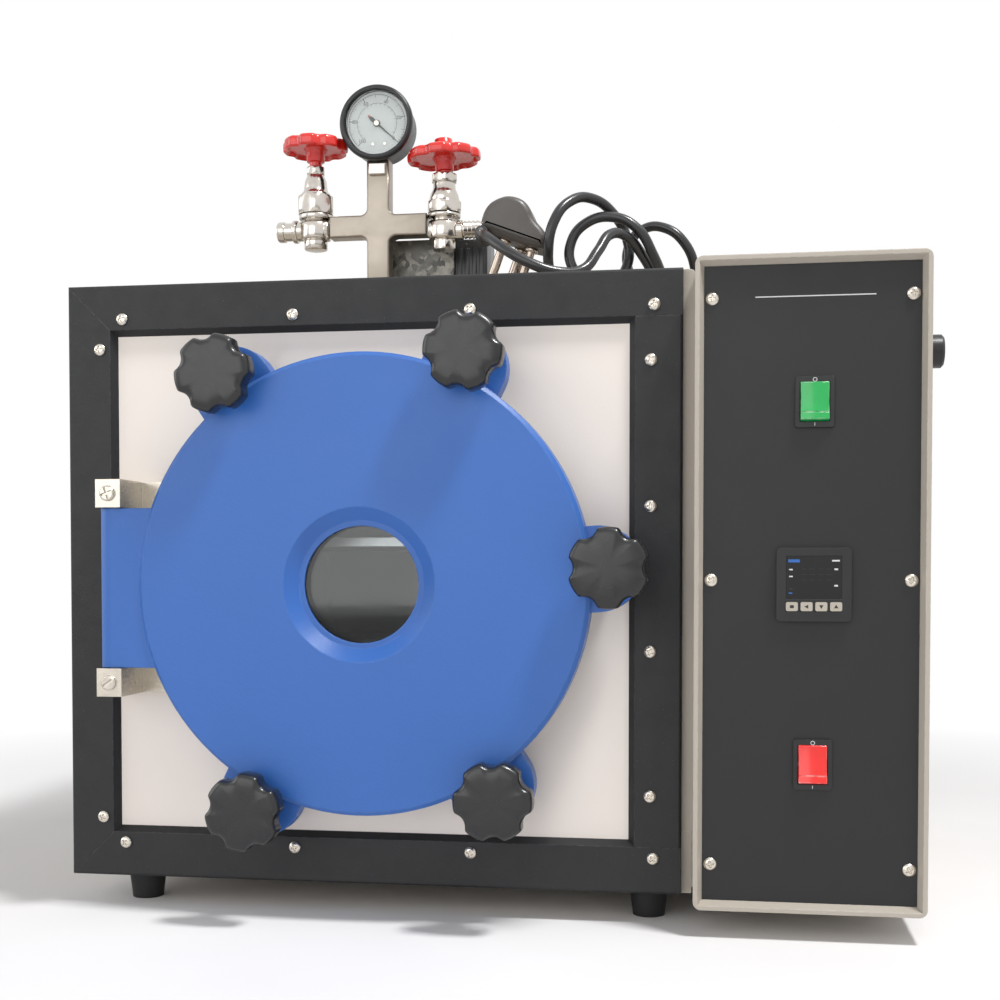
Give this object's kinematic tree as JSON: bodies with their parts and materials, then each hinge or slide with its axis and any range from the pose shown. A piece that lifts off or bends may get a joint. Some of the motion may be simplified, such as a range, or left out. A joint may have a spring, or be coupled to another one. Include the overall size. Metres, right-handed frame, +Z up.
{
  "type": "vacuum oven",
  "caption": "Bench vacuum oven: round chamber behind a windowed, screw-clamped door, sheet-metal case, manifold with gauge and valves, and a side control box with mains cord.",
  "frame": {"origin": "middle of the footprint on the table plane, measured without the free cord and plug", "axes": "+Z up, -Y to the front where the door and controls are, +X to the right seen from the front"},
  "size_m": [0.576, 0.5736, 0.5753],
  "materials": {
    "beige_paint": "smooth satin paint",
    "box_paint": "smooth satin paint",
    "cream_paint": "smooth gloss paint",
    "black_paint": "fine speckled powder coat",
    "panel_paint": "matt black paint",
    "screw_plating": "bright plating",
    "foot_rubber": "matt",
    "stainless": "brushed",
    "seal_rubber": "silicone rubber",
    "galvanised": "dull zinc",
    "mineral_wool": "fibrous",
    "nickel": "nickel plating",
    "gauge_black": "gloss enamel",
    "gauge_white": "printed white enamel",
    "clear_glass": "polished",
    "black_plastic": "moulded",
    "window_plastic": "smoked",
    "cord_vinyl": "smooth vinyl",
    "blue_paint": "gloss enamel",
    "red_paint": "gloss enamel",
    "green_plastic": "moulded",
    "red_plastic": "moulded",
    "key_plastic": "moulded"
  },
  "bodies": {
    "oven": {"cabinet_shell": "beige_paint", "base_pan": "beige_paint", "rear_panel": "beige_paint", "front_panel": "cream_paint", "frame_top_rail": "black_paint", "frame_bottom_rail": "black_paint", "frame_left_rail": "black_paint", "frame_right_rail": "black_paint", "pan_head_screws": "screw_plating", "rubber_feet": "foot_rubber", "chamber": "stainless", "chamber_flange": "stainless", "door_gasket": "seal_rubber", "lower_shelf": "stainless", "upper_shelf": "stainless", "heater_bands": "galvanised", "insulation_jacket": "mineral_wool", "temperature_probe": "stainless", "suction_pipe": "stainless", "terminal_box": "galvanised", "manifold_cross": "nickel", "vent_valve_body": "nickel", "vacuum_valve_body": "nickel", "gauge_case": "gauge_black", "gauge_dial": "gauge_white", "gauge_glass": "clear_glass", "hinge_brackets": "nickel", "hinge_pin": "nickel", "control_box": "box_paint", "control_panel": "panel_paint", "switch_housings": "black_plastic", "controller_case": "black_plastic", "controller_window": "window_plastic", "fuse_holder": "black_plastic", "cord_gland": "black_plastic", "mains_cord": "cord_vinyl", "cord_coil": "cord_vinyl", "mains_plug": "black_plastic"},
    "door": {"door": "blue_paint", "sight_glass": "clear_glass", "glass_ring": "stainless"},
    "washer_upper_left": {"clamp_washer_1": "screw_plating"},
    "knob_upper_left": {"clamp_knob_1": "black_plastic"},
    "washer_upper_right": {"clamp_washer_2": "screw_plating"},
    "knob_upper_right": {"clamp_knob_2": "black_plastic"},
    "washer_right": {"clamp_washer_3": "screw_plating"},
    "knob_right": {"clamp_knob_3": "black_plastic"},
    "washer_lower_right": {"clamp_washer_4": "screw_plating"},
    "knob_lower_right": {"clamp_knob_4": "black_plastic"},
    "washer_lower_left": {"clamp_washer_5": "screw_plating"},
    "knob_lower_left": {"clamp_knob_5": "black_plastic"},
    "vent_wheel": {"vent_handwheel": "red_paint"},
    "vacuum_wheel": {"vacuum_handwheel": "red_paint"},
    "needle": {"gauge_needle": "gauge_black"},
    "mains_switch": {"mains_rocker": "green_plastic"},
    "heating_switch": {"heating_rocker": "red_plastic"},
    "set_key": {"set_button": "key_plastic"},
    "shift_key": {"shift_button": "key_plastic"},
    "down_key": {"down_button": "key_plastic"},
    "up_key": {"up_button": "key_plastic"}
  },
  "joints": [
    {"name": "door_hinge", "type": "hinge", "parent": "oven", "child": "door", "pos_m": [-0.2433, -0.22093, 0.2165], "axis": [0, 0, -1], "range_deg": [0, 160]},
    {"name": "clamp_upper_left_travel", "type": "slide", "parent": "door", "child": "washer_upper_left", "axis": [0, 1, 0], "range_m": [0, 0.008]},
    {"name": "clamp_upper_left_turn", "type": "hinge", "parent": "washer_upper_left", "child": "knob_upper_left", "pos_m": [-0.16551, -0.24693, 0.35196], "axis": [0, 1, 0], "range_deg": [0, 1920]},
    {"name": "clamp_upper_right_travel", "type": "slide", "parent": "door", "child": "washer_upper_right", "axis": [0, 1, 0], "range_m": [0, 0.008]},
    {"name": "clamp_upper_right_turn", "type": "hinge", "parent": "washer_upper_right", "child": "knob_upper_right", "pos_m": [-0.00586, -0.24693, 0.36256], "axis": [0, 1, 0], "range_deg": [0, 1920]},
    {"name": "clamp_right_travel", "type": "slide", "parent": "door", "child": "washer_right", "axis": [0, 1, 0], "range_m": [0, 0.008]},
    {"name": "clamp_right_turn", "type": "hinge", "parent": "washer_right", "child": "knob_right", "pos_m": [0.08315, -0.24693, 0.2296], "axis": [0, 1, 0], "range_deg": [0, 1920]},
    {"name": "clamp_lower_right_travel", "type": "slide", "parent": "door", "child": "washer_lower_right", "axis": [0, 1, 0], "range_m": [0, 0.008]},
    {"name": "clamp_lower_right_turn", "type": "hinge", "parent": "washer_lower_right", "child": "knob_lower_right", "pos_m": [0.01251, -0.24693, 0.08604], "axis": [0, 1, 0], "range_deg": [0, 1920]},
    {"name": "clamp_lower_left_travel", "type": "slide", "parent": "door", "child": "washer_lower_left", "axis": [0, 1, 0], "range_m": [0, 0.008]},
    {"name": "clamp_lower_left_turn", "type": "hinge", "parent": "washer_lower_left", "child": "knob_lower_left", "pos_m": [-0.14714, -0.24693, 0.07544], "axis": [0, 1, 0], "range_deg": [0, 1920]},
    {"name": "vent_valve", "type": "hinge", "parent": "oven", "child": "vent_wheel", "pos_m": [-0.143, -0.09692, 0.536], "axis": [0, 0, 1], "range_deg": [0, 1080]},
    {"name": "vacuum_valve", "type": "hinge", "parent": "oven", "child": "vacuum_wheel", "pos_m": [-0.0475, -0.09692, 0.525], "axis": [0, 0, 1], "range_deg": [0, 1080]},
    {"name": "gauge_pointer", "type": "hinge", "parent": "oven", "child": "needle", "pos_m": [-0.094, -0.10593, 0.5485], "axis": [0, -1, 0], "range_deg": [0, 270]},
    {"name": "mains_rocking", "type": "hinge", "parent": "oven", "child": "mains_switch", "pos_m": [0.2065, -0.21893, 0.3308], "axis": [1, 0, 0], "range_deg": [0, 16]},
    {"name": "heating_rocking", "type": "hinge", "parent": "oven", "child": "heating_switch", "pos_m": [0.2065, -0.21893, 0.1088], "axis": [1, 0, 0], "range_deg": [0, 16]},
    {"name": "set_press", "type": "slide", "parent": "oven", "child": "set_key", "axis": [0, 1, 0], "range_m": [0, 0.0008]},
    {"name": "shift_press", "type": "slide", "parent": "oven", "child": "shift_key", "axis": [0, 1, 0], "range_m": [0, 0.0008]},
    {"name": "down_press", "type": "slide", "parent": "oven", "child": "down_key", "axis": [0, 1, 0], "range_m": [0, 0.0008]},
    {"name": "up_press", "type": "slide", "parent": "oven", "child": "up_key", "axis": [0, 1, 0], "range_m": [0, 0.0008]}
  ],
  "couplings": [
    {"joint": "clamp_upper_left_travel", "follows": "clamp_upper_left_turn", "m_per_rad": 0.00023873},
    {"joint": "clamp_upper_right_travel", "follows": "clamp_upper_right_turn", "m_per_rad": 0.00023873},
    {"joint": "clamp_right_travel", "follows": "clamp_right_turn", "m_per_rad": 0.00023873},
    {"joint": "clamp_lower_right_travel", "follows": "clamp_lower_right_turn", "m_per_rad": 0.00023873},
    {"joint": "clamp_lower_left_travel", "follows": "clamp_lower_left_turn", "m_per_rad": 0.00023873}
  ]
}
